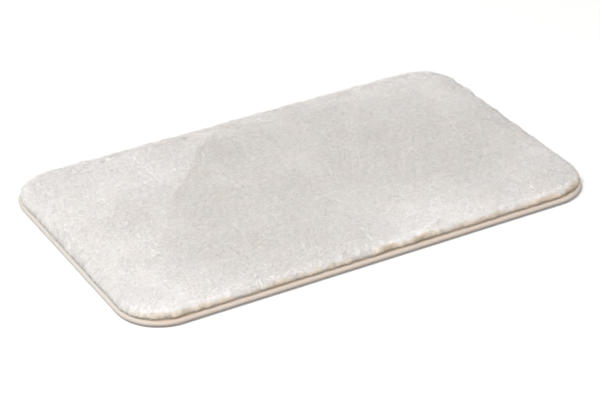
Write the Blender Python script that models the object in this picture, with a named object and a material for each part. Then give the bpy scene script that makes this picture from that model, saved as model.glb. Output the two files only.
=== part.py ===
"""A bath mat: plush pile on a foam pad, with a bound edge and an anti-slip underside.

Frame: metres, +Z up, X along the long side, origin on the floor under the middle of the mat.
Every piece is a section swept round the mat's rounded rectangle. A section is a list of
(inset, z) points, where inset is the distance in from the outside of the bound edge.
"""

import math

import bmesh
import bpy

# Plan of the mat, over the bound edge
LENGTH = 0.750
WIDTH = 0.450
CORNER_RADIUS = 0.068

# Clear space between two pieces that touch, which also stands for the glue line
GAP = 0.0003

# Layers, from the floor up
DOT_HEIGHT = 0.0010
BACKING_THICKNESS = 0.0007
FOAM_THICKNESS = 0.0080
GROUND_THICKNESS = 0.0007
PILE_HEIGHT = 0.0120

# Bound edge
ROLL_HEIGHT = 0.0074
TAPE_THICKNESS = 0.0007
SEAM_INSET = 0.0080
TAPE_PAST_SEAM = 0.0025
FOAM_AT_SEAM = 0.0006
THREAD_DIAMETER = 0.0006
TAPE_JOINT_GAP = 0.0004

# How far the pinched layers take to reach their full height, in from the seam
UPPER_RUN = 0.020
LOWER_RUN = 0.010

# Angle above and below the middle of the roll where the two cloths are trimmed
TRIM_ANGLE = math.radians(14)

# Pile
PILE_OVERHANG = 0.0015
SHOULDER_WIDTH = 0.029
SHOULDER_START = 0.0030

# Anti-slip print
PRINT_MARGIN = 0.0020
PRINT_CHAMFER = 0.0004

# Care label, a folded loop of ribbon
LABEL_WIDTH = 0.030
LABEL_LENGTH = 0.045
LABEL_OFFSET = 0.190
LABEL_LEAF = 0.00025
LABEL_WINDOW_MARGIN = 0.003

# Fineness of the mesh
CORNER_STEPS = 8
ROLL_STEPS = 6
RUN_STEPS = 4
SHOULDER_STEPS = 7
FOLD_STEPS = 6

# Colour, roughness
PLUSH_CREAM = ((0.82, 0.79, 0.74, 1.0), 0.95)
CLOTH_CREAM = ((0.78, 0.74, 0.66, 1.0), 0.90)
FOAM_WHITE = ((0.86, 0.84, 0.78, 1.0), 0.85)
TAPE_CREAM = ((0.80, 0.74, 0.65, 1.0), 0.75)
DOT_WHITE = ((0.80, 0.79, 0.75, 1.0), 0.45)
THREAD_CREAM = ((0.76, 0.71, 0.62, 1.0), 0.60)
LABEL_WHITE = ((0.88, 0.88, 0.86, 1.0), 0.40)

# The layers of the roll are rings about one centre line, ROLL_RADIUS in and ROLL_RADIUS up
ROLL_RADIUS = ROLL_HEIGHT / 2
FOAM_BOTTOM = DOT_HEIGHT + GAP + BACKING_THICKNESS + GAP
FOAM_TOP = FOAM_BOTTOM + FOAM_THICKNESS

TAPE_END = SEAM_INSET + TAPE_PAST_SEAM
PILE_FOOT = TAPE_END + GAP
LOWER_FLAT = SEAM_INSET + LOWER_RUN
FLAT_INSET = max(SEAM_INSET + UPPER_RUN, LOWER_FLAT)

# What lies above the foam and what lies below it
UPPER = {"sign": 1, "cloth": GROUND_THICKNESS, "run": UPPER_RUN, "middle": FOAM_TOP}
LOWER = {"sign": -1, "cloth": BACKING_THICKNESS, "run": LOWER_RUN, "middle": FOAM_BOTTOM}


def clear_scene():
    for obj in list(bpy.data.objects):
        bpy.data.objects.remove(obj, do_unlink=True)


def make_material(name, finish):
    color, roughness = finish
    material = bpy.data.materials.new(name)
    material.use_nodes = True
    shader = material.node_tree.nodes["Principled BSDF"]
    shader.inputs["Base Color"].default_value = color
    shader.inputs["Roughness"].default_value = roughness
    shader.inputs["Metallic"].default_value = 0.0
    material.diffuse_color = color
    return material


def ease(start, end, share):
    """A smooth change from start to end as share goes from 0 to 1."""
    return start + (end - start) * (1 - math.cos(math.pi * share)) / 2


def tape_inside(side):
    """How far outside the foam the tape's inner face lies."""
    return GAP + side["cloth"] + GAP


def foam_roll_radius(side):
    return ROLL_RADIUS - TAPE_THICKNESS - tape_inside(side)


def foam_surface(side, inset):
    """Height of the foam's upper or lower surface, from the top of the roll inwards."""
    at_roll = ROLL_RADIUS + side["sign"] * foam_roll_radius(side)
    at_seam = ROLL_RADIUS + side["sign"] * FOAM_AT_SEAM / 2
    if inset <= SEAM_INSET:
        return ease(at_roll, at_seam, (inset - ROLL_RADIUS) / (SEAM_INSET - ROLL_RADIUS))
    return ease(at_seam, side["middle"], min((inset - SEAM_INSET) / side["run"], 1.0))


def steps_between(start, end, steps):
    """Values from start to end, both included."""
    shares = [step / steps for step in range(steps + 1)]
    return [start * (1 - share) + end * share for share in shares]


def side_insets(side):
    """The same insets for every layer, so that the layers stay parallel."""
    pinch = steps_between(ROLL_RADIUS, SEAM_INSET, RUN_STEPS)
    rise = steps_between(TAPE_END, SEAM_INSET + side["run"], RUN_STEPS)
    if rise[-1] < FLAT_INSET:
        rise.append(FLAT_INSET)
    return pinch + rise


def skin(side, offset, trim, last):
    """Points at offset outside the foam, from the trim angle round the roll and in to last."""
    points = []
    radius = foam_roll_radius(side) + offset
    for step in range(ROLL_STEPS):
        angle = ease(trim, math.pi / 2, step / ROLL_STEPS)
        height = side["sign"] * radius * math.sin(angle)
        points.append((ROLL_RADIUS - radius * math.cos(angle), ROLL_RADIUS + height))
    for inset in side_insets(side):
        if inset <= last:
            points.append((inset, foam_surface(side, inset) + side["sign"] * offset))
    return points


def round_the_edge(upper_offset, lower_offset, last):
    """From last underneath, out round the roll and in to last on top."""
    return skin(LOWER, lower_offset, 0, last)[::-1] + skin(UPPER, upper_offset, 0, last)[1:]


def cloth_faces(side):
    """Inner and outer face of the ground cloth or the backing cloth."""
    inner = skin(side, GAP, TRIM_ANGLE, FLAT_INSET)
    outer = skin(side, GAP + side["cloth"], TRIM_ANGLE, FLAT_INSET)
    return inner, outer


def outline(inset):
    """Corner points of the rounded rectangle at inset, anticlockwise from the right front."""
    radius = CORNER_RADIUS - inset
    half_x = LENGTH / 2 - CORNER_RADIUS
    half_y = WIDTH / 2 - CORNER_RADIUS
    corners = ((half_x, -half_y), (half_x, half_y), (-half_x, half_y), (-half_x, -half_y))
    points = []
    for quarter, (x, y) in enumerate(corners):
        for step in range(CORNER_STEPS + 1):
            angle = math.radians(90 * (quarter - 1 + step / CORNER_STEPS))
            points.append((x + radius * math.cos(angle), y + radius * math.sin(angle)))
    return points


def open_outline(inset):
    """The outline cut at the middle of the rear long side, where the tape's ends meet."""
    points = outline(inset)
    rear = 2 * (CORNER_STEPS + 1)
    y = WIDTH / 2 - inset
    half_gap = TAPE_JOINT_GAP / 2
    return [(-half_gap, y)] + points[rear:] + points[:rear] + [(half_gap, y)]


def add_object(name, bm, material):
    bmesh.ops.recalc_face_normals(bm, faces=bm.faces)
    mesh = bpy.data.meshes.new(name)
    bm.to_mesh(mesh)
    bm.free()
    mesh.materials.append(material)
    mesh.shade_smooth()
    mesh.set_sharp_from_angle(angle=math.radians(40))
    obj = bpy.data.objects.new(name, mesh)
    bpy.context.scene.collection.objects.link(obj)
    return obj


def add_rings(bm, section, path):
    """One ring of vertices for each point of the section."""
    rings = []
    for inset, z in section:
        rings.append([bm.verts.new((x, y, z)) for x, y in path(inset)])
    return rings


def join_rings(bm, ring, other, closed):
    count = len(ring)
    for index in range(count if closed else count - 1):
        after = (index + 1) % count
        bm.faces.new((ring[index], ring[after], other[after], other[index]))


def sweep_layer(name, section, material):
    """A slab: the section runs from the middle underneath, round the edge, to the middle on top."""
    bm = bmesh.new()
    rings = add_rings(bm, section, outline)
    for ring, other in zip(rings, rings[1:]):
        join_rings(bm, ring, other, closed=True)
    bm.faces.new(rings[0])
    bm.faces.new(rings[-1])
    return add_object(name, bm, material)


def sweep_strip(name, section, material):
    """A strip whose two ends meet at the rear: the section is a closed loop."""
    bm = bmesh.new()
    rings = add_rings(bm, section, open_outline)
    for ring, other in zip(rings, rings[1:] + rings[:1]):
        join_rings(bm, ring, other, closed=False)
    bm.faces.new([ring[0] for ring in rings])
    bm.faces.new([ring[-1] for ring in rings])
    return add_object(name, bm, material)


def sweep_thread(name, z, material):
    """A thread along the seam, with the tape's own joint left open."""
    curve = bpy.data.curves.new(name, "CURVE")
    curve.dimensions = "3D"
    curve.bevel_depth = THREAD_DIAMETER / 2
    curve.bevel_resolution = 1
    curve.use_fill_caps = True
    points = open_outline(SEAM_INSET)
    spline = curve.splines.new("POLY")
    spline.points.add(len(points) - 1)
    for point, (x, y) in zip(spline.points, points):
        point.co = (x, y, z, 1.0)
    curve.materials.append(material)
    obj = bpy.data.objects.new(name, curve)
    bpy.context.scene.collection.objects.link(obj)
    return obj


def make_foam():
    section = round_the_edge(0, 0, FLAT_INSET)
    return sweep_layer("foam_core", section, make_material("foam", FOAM_WHITE))


def make_ground_cloth():
    inner, outer = cloth_faces(UPPER)
    return sweep_layer("ground_cloth", inner[::-1] + outer, make_material("ground knit", CLOTH_CREAM))


def make_backing_cloth():
    inner, outer = cloth_faces(LOWER)
    return sweep_layer("backing_cloth", outer[::-1] + inner, make_material("backing cloth", CLOTH_CREAM))


def make_binding_tape():
    inner = round_the_edge(tape_inside(UPPER), tape_inside(LOWER), TAPE_END)
    outer = round_the_edge(
        tape_inside(UPPER) + TAPE_THICKNESS, tape_inside(LOWER) + TAPE_THICKNESS, TAPE_END
    )
    return sweep_strip("binding_tape", outer + inner[::-1], make_material("binding tape", TAPE_CREAM))


def thread_height(side):
    """Centre of the seam thread that lies on the tape's outer face."""
    out = tape_inside(side) + TAPE_THICKNESS + GAP + THREAD_DIAMETER / 2
    return foam_surface(side, SEAM_INSET) + side["sign"] * out


def make_threads():
    material = make_material("seam thread", THREAD_CREAM)
    sweep_thread("needle_thread", thread_height(UPPER), material)
    sweep_thread("bobbin_thread", thread_height(LOWER), material)


def make_pile():
    """The pile stands on the ground cloth, leans out over the seam and rises over a round shoulder."""
    base = GAP + GROUND_THICKNESS + GAP
    top = FOAM_TOP + base + PILE_HEIGHT
    over_thread = thread_height(UPPER) + THREAD_DIAMETER / 2 + GAP
    edge = SEAM_INSET - PILE_OVERHANG
    shoulder_bottom = over_thread + SHOULDER_START
    foot = [inset for inset in side_insets(UPPER) if inset > PILE_FOOT]
    section = []
    for inset in foot[::-1] + [PILE_FOOT]:
        section.append((inset, foam_surface(UPPER, inset) + base))
    section.append((PILE_FOOT, over_thread))
    section.append((SEAM_INSET - PILE_OVERHANG / 2, over_thread))
    section.append((edge, (over_thread + shoulder_bottom) / 2))
    for step in range(SHOULDER_STEPS + 1):
        angle = math.pi / 2 * step / SHOULDER_STEPS
        inset = edge + SHOULDER_WIDTH * (1 - math.cos(angle))
        section.append((inset, shoulder_bottom + (top - shoulder_bottom) * math.sin(angle)))
    return sweep_layer("plush_pile", section, make_material("plush pile", PLUSH_CREAM))


def label_placing():
    """Left side and rear end of the care label, which starts just inside the seam thread."""
    return LABEL_OFFSET - LABEL_WIDTH / 2, WIDTH / 2 - SEAM_INSET - THREAD_DIAMETER / 2 - GAP


def leaf_face(depth):
    """A face of the label, depth below its top, from under the tape's leg to the fold."""
    rear = label_placing()[1]
    tape_under = foam_surface(LOWER, TAPE_END) - tape_inside(LOWER) - TAPE_THICKNESS
    held = tape_under - GAP - depth
    flat = DOT_HEIGHT - depth
    fold = rear - LABEL_LENGTH + LABEL_LEAF + GAP / 2
    return [(rear, held), (WIDTH / 2 - TAPE_END, held), (WIDTH / 2 - LOWER_FLAT, flat), (fold, flat)]


def make_label():
    """Two leaves of ribbon, one on the other, joined by a round fold at the free end."""
    left = label_placing()[0]
    thickness = 2 * LABEL_LEAF + GAP
    outer = leaf_face(0)
    inner = leaf_face(LABEL_LEAF)
    centre_y, centre_z = outer[-1][0], outer[-1][1] - thickness / 2
    bend = []
    for radius in (thickness / 2, GAP / 2):
        angles = steps_between(math.pi / 2, 3 * math.pi / 2, FOLD_STEPS)[1:-1]
        bend.append([(centre_y + radius * math.cos(a), centre_z + radius * math.sin(a)) for a in angles])
    round_outside = outer + bend[0] + leaf_face(thickness)[::-1]
    round_inside = inner + bend[1] + leaf_face(LABEL_LEAF + GAP)[::-1]
    profile = round_outside + round_inside[::-1]
    bm = bmesh.new()
    sides = [[bm.verts.new((x, y, z)) for y, z in profile] for x in (left, left + LABEL_WIDTH)]
    join_rings(bm, sides[0], sides[1], closed=True)
    bm.faces.new(sides[0])
    bm.faces.new(sides[1])
    return add_object("care_label", bm, make_material("label ribbon", LABEL_WHITE))


def make_window_cutter():
    """The print stops short of the care label."""
    left, rear = label_placing()
    margin = LABEL_WINDOW_MARGIN
    low = (left - margin, rear - LABEL_LENGTH - margin, -margin)
    high = (left + LABEL_WIDTH + margin, WIDTH / 2, DOT_HEIGHT + margin)
    bm = bmesh.new()
    bmesh.ops.create_cube(bm, size=1.0)
    for vert in bm.verts:
        for axis in range(3):
            middle = (low[axis] + high[axis]) / 2
            vert.co[axis] = middle + vert.co[axis] * (high[axis] - low[axis])
    cutter = add_object("label_window_cutter", bm, make_material("cutter", DOT_WHITE))
    cutter.hide_render = True
    cutter.display_type = "WIRE"
    return cutter


def make_grip_dots():
    """The dot print, as a sheet of the dots' height on the flat of the backing cloth."""
    edge = LOWER_FLAT + PRINT_MARGIN
    inside = edge + PRINT_CHAMFER
    section = [(inside, 0), (edge, PRINT_CHAMFER), (edge, DOT_HEIGHT), (inside, DOT_HEIGHT)]
    print_sheet = sweep_layer("grip_dots", section, make_material("grip dots", DOT_WHITE))
    window = print_sheet.modifiers.new("label window", "BOOLEAN")
    window.operation = "DIFFERENCE"
    window.solver = "EXACT"
    window.object = make_window_cutter()
    return print_sheet


def main():
    clear_scene()
    make_foam()
    make_ground_cloth()
    make_backing_cloth()
    make_binding_tape()
    make_threads()
    make_pile()
    make_label()
    make_grip_dots()


main()
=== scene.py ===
import math

import bmesh
import bpy
import numpy as np
from mathutils import Matrix, Vector, noise


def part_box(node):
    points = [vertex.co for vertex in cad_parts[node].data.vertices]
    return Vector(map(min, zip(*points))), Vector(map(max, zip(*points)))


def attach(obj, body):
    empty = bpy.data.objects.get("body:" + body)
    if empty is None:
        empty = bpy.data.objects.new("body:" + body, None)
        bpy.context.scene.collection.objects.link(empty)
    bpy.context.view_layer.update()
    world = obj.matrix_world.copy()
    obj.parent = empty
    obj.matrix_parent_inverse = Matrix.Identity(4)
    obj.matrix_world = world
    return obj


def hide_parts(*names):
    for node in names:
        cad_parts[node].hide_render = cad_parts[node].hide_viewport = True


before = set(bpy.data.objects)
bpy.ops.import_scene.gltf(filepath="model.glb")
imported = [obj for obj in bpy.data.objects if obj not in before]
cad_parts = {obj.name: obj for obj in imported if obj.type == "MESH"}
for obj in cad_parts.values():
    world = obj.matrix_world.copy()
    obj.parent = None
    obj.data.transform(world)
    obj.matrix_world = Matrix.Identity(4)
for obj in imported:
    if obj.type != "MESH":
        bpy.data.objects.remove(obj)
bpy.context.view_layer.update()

scene = bpy.context.scene
scene.view_settings.view_transform = "Standard"

# Places given by the parts in model.glb
_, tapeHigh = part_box("binding_tape")
_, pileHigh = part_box("plush_pile")
foamLow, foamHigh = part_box("foam_core")
threadLow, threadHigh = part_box("needle_thread")
bobbinLow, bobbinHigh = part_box("bobbin_thread")
_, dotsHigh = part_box("grip_dots")
labelLow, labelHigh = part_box("care_label")

# How the mat is made up, in metres. An inset is a distance in from the outside of the bound edge
layers = {
    "cornerRadius": 0.068,
    "gap": 0.0003,
    "cloth": 0.0007,            # ground knit and backing cloth
    "tape": 0.0007,
    "tapePastSeam": 0.0025,
    "upperRun": 0.020,          # from the seam in to the full height
    "lowerRun": 0.010,
    "trimAngle": math.radians(14),
    "stitchPitch": 0.0032,
    "sectionStep": 0.0012,      # between the points of a section
}
halfLength = tapeHigh.x
halfWidth = tapeHigh.y
rollRadius = tapeHigh.z / 2
threadRadius = 0.0003
seamInset = halfWidth - threadHigh.y + threadRadius
seamTop = threadLow.z - layers["gap"]
seamUnder = bobbinHigh.z + layers["gap"]
tapeEnd = seamInset + layers["tapePastSeam"]
clothOver = layers["gap"] + layers["cloth"]
tapeOver = clothOver + layers["gap"] + layers["tape"]
pileOver = clothOver + layers["gap"]
foamRoll = rollRadius - tapeOver
straightX = halfLength - layers["cornerRadius"]
straightY = halfWidth - layers["cornerRadius"]
seamTurn = layers["cornerRadius"] - seamInset
seamLength = 4 * (straightX + straightY) + 2 * math.pi * seamTurn


# Places on the mat's outline and in its section

def ease(start, end, share):
    share = min(max(share, 0.0), 1.0)
    return start + (end - start) * (1 - math.cos(math.pi * share)) / 2


def foamHeight(side, inset):
    atRoll = rollRadius + side * foamRoll
    atSeam = seamTop - tapeOver if side > 0 else seamUnder + tapeOver
    if inset <= seamInset:
        return ease(atRoll, atSeam, (inset - rollRadius) / (seamInset - rollRadius))
    middle = foamHigh.z if side > 0 else foamLow.z
    run = layers["upperRun"] if side > 0 else layers["lowerRun"]
    return ease(atSeam, middle, (inset - seamInset) / run)


def skin(side, offset, trim, last, rollSteps=10):
    # from the trim angle round the roll and in to last, at offset outside the foam
    points = []
    radius = foamRoll + offset
    for index in range(rollSteps):
        angle = trim + (math.pi / 2 - trim) * index / rollSteps
        across = rollRadius - radius * math.cos(angle)
        points.append((across, rollRadius + side * radius * math.sin(angle)))
    count = max(1, round((last - rollRadius) / layers["sectionStep"]))
    for index in range(count + 1):
        inset = rollRadius + (last - rollRadius) * index / count
        points.append((inset, foamHeight(side, inset) + side * offset))
    return points


def aroundEdge(offset, last, rollSteps=10):
    # from last underneath, out round the roll and in to last on top
    under = skin(-1, offset, 0, last, rollSteps)
    over = skin(1, offset, 0, last, rollSteps)
    return under[::-1] + over[1:]


def pathFrame(distance):
    # centre of the turn and outward direction, a distance along the seam from the middle of the rear
    distance %= seamLength
    x, y, angle = 0.0, straightY, math.pi / 2
    for run in (straightX, 2 * straightY, 2 * straightX, 2 * straightY, straightX):
        along = min(distance, run)
        x -= along * math.sin(angle)
        y += along * math.cos(angle)
        distance -= along
        if distance <= 0:
            break
        turned = min(distance, math.pi / 2 * seamTurn)
        angle += turned / seamTurn
        distance -= turned
        if distance <= 0:
            break
    return x, y, math.cos(angle), math.sin(angle)


def placeOnPath(distance, inset):
    x, y, outX, outY = pathFrame(distance)
    reach = layers["cornerRadius"] - inset
    return x + outX * reach, y + outY * reach


def insetOf(x, y):
    # how far in from the outside a place is
    overX = max(abs(x) - straightX, 0.0)
    overY = max(abs(y) - straightY, 0.0)
    if overX > 0 or overY > 0:
        return layers["cornerRadius"] - math.hypot(overX, overY)
    return layers["cornerRadius"] + min(straightX - abs(x), straightY - abs(y))


def smooth(value, low, high):
    share = np.clip((value - low) / (high - low), 0.0, 1.0)
    return share * share * (3 - 2 * share)


def wander(x, y, scale, layer):
    # soft noise in plan, about -1 to 1; each layer is a pattern of its own
    return noise.noise(Vector((x * scale, y * scale, layer)))


# Meshes

def addObject(name, mesh):
    obj = bpy.data.objects.new(name, mesh)
    scene.collection.objects.link(obj)
    return obj


def turnOutwards(mesh):
    bm = bmesh.new()
    bm.from_mesh(mesh)
    bmesh.ops.recalc_face_normals(bm, faces=bm.faces)
    bm.to_mesh(mesh)
    bm.free()
    mesh.shade_smooth()


def pointArray(mesh):
    places = np.empty(len(mesh.vertices) * 3)
    mesh.vertices.foreach_get("co", places)
    return places.reshape(-1, 3)


def sweep(name, distances, sections):
    # sections holds one loop of (inset, z) for each distance along the seam; both ends are capped
    sections = np.array(sections)
    rings, points = sections.shape[:2]
    frames = np.array([pathFrame(distance) for distance in distances])
    reach = layers["cornerRadius"] - sections[:, :, 0]
    x = frames[:, 0:1] + frames[:, 2:3] * reach
    y = frames[:, 1:2] + frames[:, 3:4] * reach
    places = np.stack((x, y, sections[:, :, 1]), axis=2).reshape(-1, 3)
    acrossSteps = np.linalg.norm(np.diff(sections[0], axis=0, append=sections[0][:1]), axis=1)
    across = np.concatenate(([0.0], np.cumsum(acrossSteps)))
    faces, uvs = [], []
    for ring in range(rings - 1):
        start, after = distances[ring], distances[ring + 1]
        for point in range(points):
            beside = (point + 1) % points
            faces.append((ring * points + point, (ring + 1) * points + point,
                          (ring + 1) * points + beside, ring * points + beside))
            uvs += [start, across[point], after, across[point],
                    after, across[point + 1], start, across[point + 1]]
    for start in (0, (rings - 1) * points):
        faces.append(tuple(range(start, start + points)))
        for point in range(points):
            uvs += [sections[0, point, 0], sections[0, point, 1]]
    mesh = bpy.data.meshes.new(name)
    mesh.from_pydata(places.tolist(), [], faces)
    mesh.uv_layers.new(name="weave").data.foreach_set("uv", uvs)
    turnOutwards(mesh)
    return addObject(name, mesh)


def slab(name, section, step):
    # the section runs from the middle underneath, round the edge, to the middle on top
    count = round(seamLength / step)
    distances = [seamLength * index / count for index in range(count)]
    bm = bmesh.new()
    rings = []
    for inset, z in section:
        rings.append([bm.verts.new((*placeOnPath(distance, inset), z)) for distance in distances])
    for ring, other in zip(rings, rings[1:]):
        for index in range(count):
            after = (index + 1) % count
            bm.faces.new((ring[index], ring[after], other[after], other[index]))
    bm.faces.new(rings[0])
    bm.faces.new(rings[-1])
    bmesh.ops.recalc_face_normals(bm, faces=bm.faces)
    mesh = bpy.data.meshes.new(name)
    bm.to_mesh(mesh)
    bm.free()
    mesh.shade_smooth()
    return addObject(name, mesh)


def topMap(mesh):
    # one flat map from above, for pieces whose colour depends only on the place in plan
    places = pointArray(mesh)
    corners = np.empty(len(mesh.loops), dtype=np.int32)
    mesh.loops.foreach_get("vertex_index", corners)
    low = places[:, :2].min(axis=0)
    size = (places[:, :2].max(axis=0) - low).max()
    uvs = (places[corners, :2] - low) / size * 0.98 + 0.01
    layer = mesh.uv_layers.get("OFBake") or mesh.uv_layers.new(name="OFBake")
    layer.data.foreach_set("uv", uvs.ravel())


def tubeFaces(rows, sides):
    # quads between rows of points, each row closed on itself
    faces = []
    for row in range(rows - 1):
        for corner in range(sides):
            start, beside = row * sides, (corner + 1) % sides
            faces.append((start + corner, start + beside, start + sides + beside, start + sides + corner))
    return faces


def addShape(name, places, faces):
    # a small closed shape to be planted many times
    mesh = bpy.data.meshes.new(name)
    mesh.from_pydata(places, [], faces)
    turnOutwards(mesh)
    obj = addObject(name, mesh)
    obj.hide_render = True
    return obj


def applyModifier(obj, modifier):
    # the modified mesh takes the place of the object's own
    bpy.context.view_layer.update()
    evaluated = obj.evaluated_get(bpy.context.evaluated_depsgraph_get())
    mesh = bpy.data.meshes.new_from_object(evaluated)
    obj.modifiers.remove(modifier)
    obj.data = mesh


def setAttribute(mesh, name, kind, values):
    attribute = mesh.attributes.new(name, kind, "POINT")
    field = "vector" if kind == "FLOAT_VECTOR" else "value"
    attribute.data.foreach_set(field, np.asarray(values, dtype=np.float32).ravel())


# Geometry Nodes

def newTree(name, inputs):
    # inputs are (name, kind, value); a tree takes geometry and gives geometry
    tree = bpy.data.node_groups.new(name, "GeometryNodeTree")
    tree.interface.new_socket("Geometry", in_out="INPUT", socket_type="NodeSocketGeometry")
    for label, kind, value in inputs:
        socket = tree.interface.new_socket(label, in_out="INPUT", socket_type="NodeSocket" + kind)
        socket.default_value = value
    tree.interface.new_socket("Geometry", in_out="OUTPUT", socket_type="NodeSocketGeometry")
    return tree, tree.nodes.new("NodeGroupInput").outputs


def addNode(tree, kind, links=None, **settings):
    node = tree.nodes.new(kind)
    for name, value in settings.items():
        setattr(node, name, value)
    for socket, source in (links or {}).items():
        target = node.inputs[socket]
        if isinstance(source, bpy.types.NodeSocket):
            tree.links.new(source, target)
        else:
            target.default_value = source
    return node


def finishTree(tree, instances, material):
    real = addNode(tree, "GeometryNodeRealizeInstances", {"Geometry": instances})
    soft = addNode(tree, "GeometryNodeSetShadeSmooth", {0: real.outputs[0]})
    painted = addNode(tree, "GeometryNodeSetMaterial",
                      {"Geometry": soft.outputs[0], "Material": material})
    addNode(tree, "NodeGroupOutput", {0: painted.outputs[0]})


def grow(name, base, tree, values):
    # the tree's result on base, as a plain mesh
    modifier = base.modifiers.new(name, "NODES")
    modifier.node_group = tree
    for item in tree.interface.items_tree:
        if item.in_out == "INPUT" and item.name in values:
            modifier[item.identifier] = values[item.name]
    bpy.context.view_layer.update()
    evaluated = base.evaluated_get(bpy.context.evaluated_depsgraph_get())
    mesh = bpy.data.meshes.new_from_object(evaluated)
    base.modifiers.remove(modifier)
    mesh.name = name
    return addObject(name, mesh)


# Materials

def newMaterial(name, roughness, specular, sheen=0.0):
    material = bpy.data.materials.new(name)
    material.use_nodes = True
    shader = material.node_tree.nodes["Principled BSDF"]
    shader.inputs["Roughness"].default_value = roughness
    shader.inputs["Specular IOR Level"].default_value = specular
    shader.inputs["Sheen Weight"].default_value = sheen
    shader.inputs["Sheen Roughness"].default_value = 0.5
    shader.inputs["Sheen Tint"].default_value = (1.0, 0.97, 0.92, 1.0)
    return material, material.node_tree, shader


def objectPlace(tree):
    return addNode(tree, "ShaderNodeTexCoord").outputs["Object"]


def pointValue(tree, name):
    return addNode(tree, "ShaderNodeAttribute", attribute_name=name).outputs["Fac"]


def mixColors(tree, factor, first, second, blend="MIX"):
    node = addNode(tree, "ShaderNodeMix", {0: factor, 6: first, 7: second},
                   data_type="RGBA", blend_type=blend)
    return node.outputs[2]


def vectorMath(tree, operation, first, second):
    socket = "Scale" if operation == "SCALE" else 1
    return addNode(tree, "ShaderNodeVectorMath", {0: first, socket: second},
                   operation=operation).outputs[0]


def compare(tree, operation, first, second):
    return addNode(tree, "FunctionNodeCompare", {0: first, 1: second}, operation=operation).outputs[0]


def both(tree, first, second):
    return addNode(tree, "FunctionNodeBooleanMath", {0: first, 1: second}, operation="AND").outputs[0]


def namedValue(tree, name, kind="FLOAT"):
    return addNode(tree, "GeometryNodeInputNamedAttribute", {"Name": name}, data_type=kind).outputs[0]


def stretched(tree, value, low, high, toLow, toHigh):
    node = addNode(tree, "ShaderNodeMapRange", {"Value": value, "From Min": low, "From Max": high,
                                                "To Min": toLow, "To Max": toHigh})
    return node.outputs[0]


def mapped(tree, vector, scale, turn=0.0):
    return addNode(tree, "ShaderNodeMapping",
                   {"Vector": vector, "Rotation": (0.0, 0.0, turn), "Scale": scale}).outputs[0]


def noiseAt(tree, vector, scale, detail=2.0, roughness=0.5):
    node = addNode(tree, "ShaderNodeTexNoise",
                   {"Vector": vector, "Scale": scale, "Detail": detail, "Roughness": roughness})
    return node.outputs[0]


def bumpOn(tree, shader, height, strength, distance):
    node = addNode(tree, "ShaderNodeBump",
                   {"Height": height, "Strength": strength, "Distance": distance})
    tree.links.new(node.outputs[0], shader.inputs["Normal"])


def maths(tree, operation, first, second=0.0):
    return addNode(tree, "ShaderNodeMath", {0: first, 1: second}, operation=operation).outputs[0]


def paintWith(tree, shader, paint, shade):
    # the colour goes to the shader darkened or paled by the shade
    tree.links.new(mixColors(tree, 1.0, paint, shade, "MULTIPLY"), shader.inputs["Base Color"])


# Camera
camera = {
    "place": Vector((-1.3667, -2.4426, 1.6239)),
    "azimuth": math.radians(-29.199),
    "elevation": math.radians(30.327),
    "roll": math.radians(-0.754),
    "lens": 132.3,
}


def addCamera():
    azimuth, elevation, roll = camera["azimuth"], camera["elevation"], camera["roll"]
    back = Vector((math.sin(azimuth) * math.cos(elevation),
                   -math.cos(azimuth) * math.cos(elevation), math.sin(elevation)))
    level = Vector((0, 0, 1)).cross(back).normalized()
    upright = back.cross(level)
    right = level * math.cos(roll) + upright * math.sin(roll)
    up = upright * math.cos(roll) - level * math.sin(roll)
    lens = bpy.data.cameras.new("camera")
    lens.lens = camera["lens"]
    lens.sensor_width = 36
    obj = bpy.data.objects.new("camera", lens)
    turn = Matrix((right, up, back)).transposed()
    obj.matrix_world = Matrix.Translation(camera["place"]) @ turn.to_4x4()
    scene.collection.objects.link(obj)
    scene.camera = obj


addCamera()

# Floor and light
studio = {
    "floorSize": 12.0,
    "floorDrop": 0.0004,        # keeps it just clear of the dots
    "floorColor": (0.972, 0.972, 0.97, 1.0),
    "floorPale": (0.98, 0.98, 0.98, 1.0),
    "worldColor": (1.0, 1.0, 1.0, 1.0),
    "worldStrength": 0.33,
    "keyPlace": (-2.6, 0.3, 5.6),
    "keySize": 4.6,
    "keyPower": 325,
    "keyColor": (1.0, 0.985, 0.965),
    "fillPlace": (-0.9, -3.4, 1.9),
    "fillSize": 2.4,
    "fillPower": 55,
}


def addAreaLight(name, place, size, power, color=(1.0, 1.0, 1.0)):
    light = bpy.data.lights.new(name, "AREA")
    light.shape = "DISK"
    light.size = size
    light.energy = power
    light.color = color
    obj = bpy.data.objects.new(name, light)
    obj.location = place
    obj.rotation_euler = (-Vector(place)).to_track_quat("-Z", "Y").to_euler()
    scene.collection.objects.link(obj)


def addStudio():
    bm = bmesh.new()
    bmesh.ops.create_grid(bm, x_segments=12, y_segments=12, size=studio["floorSize"] / 2)
    mesh = bpy.data.meshes.new("floor")
    bm.to_mesh(mesh)
    bm.free()
    floor = addObject("floor", mesh)
    for vertex in mesh.vertices:
        vertex.co.z = -studio["floorDrop"]
    material, tree, shader = newMaterial("pale floor", 0.8, specular=0.1)
    place = objectPlace(tree)
    grain = noiseAt(tree, place, 6.0, 3.0)
    paint = mixColors(tree, stretched(tree, grain, 0.3, 0.7, 0.0, 1.0), studio["floorColor"],
                      studio["floorPale"])
    tree.links.new(paint, shader.inputs["Base Color"])
    mesh.materials.append(material)
    world = scene.world or bpy.data.worlds.new("world")
    scene.world = world
    world.use_nodes = True
    background = world.node_tree.nodes["Background"]
    background.inputs["Color"].default_value = studio["worldColor"]
    background.inputs["Strength"].default_value = studio["worldStrength"]
    addAreaLight("key light", studio["keyPlace"], studio["keySize"], studio["keyPower"],
                 studio["keyColor"])
    addAreaLight("fill light", studio["fillPlace"], studio["fillSize"], studio["fillPower"])


addStudio()
print("studio ready")

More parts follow.
